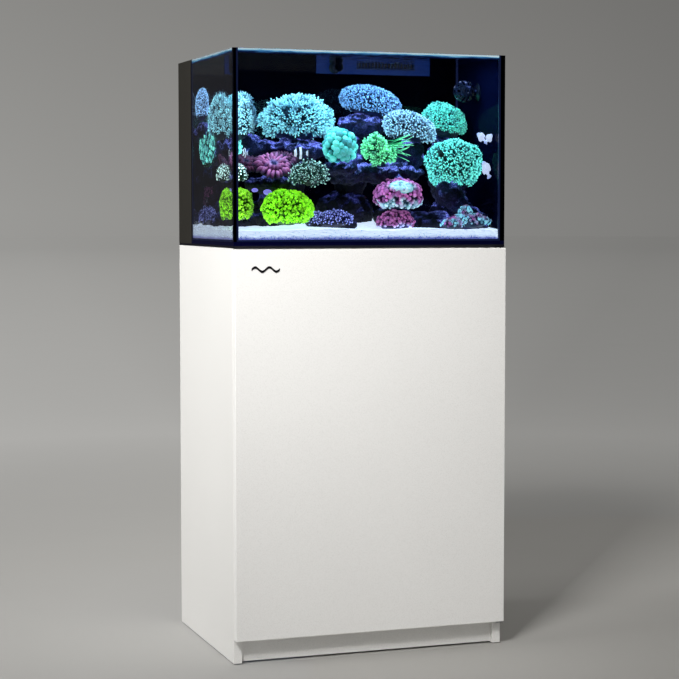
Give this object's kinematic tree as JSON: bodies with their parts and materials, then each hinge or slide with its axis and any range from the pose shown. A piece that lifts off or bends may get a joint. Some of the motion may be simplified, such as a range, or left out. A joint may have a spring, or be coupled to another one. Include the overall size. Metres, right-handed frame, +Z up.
{
  "type": "aquarium on stand",
  "caption": "Small reef aquarium with a rear filter chamber on a white cabinet with one full-height door, planted with corals on rock and sand.",
  "frame": {"origin": "on the floor, under the middle of the bounding box", "axes": "+Z up, the door and front glass face -Y, +X to the right seen from the front"},
  "size_m": [0.6, 0.45, 1.265],
  "materials": {
    "cabinet_board": "satin",
    "door_board": "satin",
    "glide_plastic": "matt",
    "badge_black": "gloss",
    "hinge_steel": "brushed",
    "sleeve_nylon": "matt",
    "latch_grey": "matt",
    "mat_foam": "matt",
    "tank_glass": "clear",
    "silicone_black": "satin",
    "chamber_acrylic": "gloss",
    "weir_acrylic": "gloss",
    "filter_plastic": "matt",
    "sponge_blue": "open foam",
    "pump_plastic": "satin",
    "rotor_plastic": "satin",
    "hose_rubber": "satin",
    "sand": "grains",
    "live_rock": "rough",
    "coral_teal": "soft",
    "coral_mint": "soft",
    "coral_blue": "soft",
    "coral_sky": "soft",
    "coral_green": "soft",
    "coral_lime": "soft",
    "coral_wine": "soft",
    "coral_pink": "soft"
  },
  "bodies": {
    "cabinet": {"side_panel_left": "cabinet_board", "side_panel_right": "cabinet_board", "top_panel": "cabinet_board", "bottom_panel": "cabinet_board", "shelf": "cabinet_board", "kick_board": "cabinet_board", "back_panel": "cabinet_board", "glide_front_left": "glide_plastic", "glide_back_left": "glide_plastic", "glide_front_right": "glide_plastic", "glide_back_right": "glide_plastic", "pivot_leaf_top": "hinge_steel", "pivot_leaf_bottom": "hinge_steel", "latch_housing": "latch_grey", "levelling_mat": "mat_foam", "bottom_glass": "tank_glass", "front_glass": "tank_glass", "back_glass": "tank_glass", "left_glass": "tank_glass", "right_glass": "tank_glass", "silicone_seams": "silicone_black", "chamber_wall": "chamber_acrylic", "chamber_divider_left": "chamber_acrylic", "chamber_divider_right": "chamber_acrylic", "weir_plate": "weir_acrylic", "pump_housing": "pump_plastic", "return_hose": "hose_rubber", "return_pipe": "pump_plastic", "wave_suction_cup": "hose_rubber", "sand_bed": "sand", "rock_left": "live_rock", "rock_centre": "live_rock", "rock_right": "live_rock", "bush_coral": "coral_teal", "bubble_coral": "coral_mint", "blue_dome_coral": "coral_blue", "blue_plate_coral": "coral_sky", "teal_dome_coral": "coral_mint", "green_dome_coral": "coral_mint", "torch_coral": "coral_green", "flower_coral": "coral_wine", "branch_coral": "coral_teal", "lime_coral": "coral_lime", "chalice_coral": "coral_pink"},
    "door": {"door": "door_board", "badge": "badge_black", "strike_plate": "hinge_steel", "pivot_sleeve_top": "sleeve_nylon", "pivot_sleeve_bottom": "sleeve_nylon"},
    "latch_plunger": {"latch_plunger": "latch_grey"},
    "weir_comb": {"weir_comb": "weir_acrylic"},
    "media_basket": {"media_basket": "filter_plastic", "filter_sponge": "sponge_blue"},
    "nozzle_ball": {"nozzle_ball": "pump_plastic"},
    "nozzle_tip": {"nozzle_tip": "pump_plastic"},
    "pump_rotor": {"pump_rotor": "rotor_plastic"},
    "wave_bracket": {"wave_bracket": "pump_plastic"},
    "wave_pump": {"wave_housing": "pump_plastic", "wave_cage": "pump_plastic"},
    "wave_propeller": {"wave_propeller": "rotor_plastic"}
  },
  "joints": [
    {"name": "door_swing", "type": "hinge", "parent": "cabinet", "child": "door", "pos_m": [0.294, -0.2175, 0.455], "axis": [0, 0, 1], "range_deg": [0, 110]},
    {"name": "latch_push", "type": "slide", "parent": "cabinet", "child": "latch_plunger", "axis": [0, 1, 0], "range_m": [0, 0.003], "stiffness_N_per_m": 300},
    {"name": "comb_lift", "type": "slide", "parent": "cabinet", "child": "weir_comb", "axis": [0, 0, 1], "range_m": [0, 0.03]},
    {"name": "basket_lift", "type": "slide", "parent": "cabinet", "child": "media_basket", "axis": [0, 0, 1], "range_m": [0, 0.4]},
    {"name": "nozzle_yaw", "type": "hinge", "parent": "cabinet", "child": "nozzle_ball", "pos_m": [0, 0.101, 1.249], "axis": [0, 0, 1], "range_deg": [-20, 20]},
    {"name": "nozzle_pitch", "type": "hinge", "parent": "nozzle_ball", "child": "nozzle_tip", "pos_m": [0, 0.101, 1.249], "axis": [1, 0, 0], "range_deg": [-20, 20]},
    {"name": "pump_rotor_spin", "type": "hinge", "parent": "cabinet", "child": "pump_rotor", "pos_m": [-0.07, 0.15, 0.903], "axis": [0, 1, 0], "continuous": true},
    {"name": "wave_tilt", "type": "hinge", "parent": "cabinet", "child": "wave_bracket", "pos_m": [0.28, -0.04, 1.195], "axis": [1, 0, 0], "range_deg": [-30, 30]},
    {"name": "wave_turn", "type": "hinge", "parent": "wave_bracket", "child": "wave_pump", "pos_m": [0.271, -0.04, 1.195], "axis": [0, 0, 1], "range_deg": [-30, 20]},
    {"name": "wave_propeller_spin", "type": "hinge", "parent": "wave_pump", "child": "wave_propeller", "pos_m": [0.252, -0.067, 1.195], "axis": [0, 1, 0], "continuous": true}
  ]
}
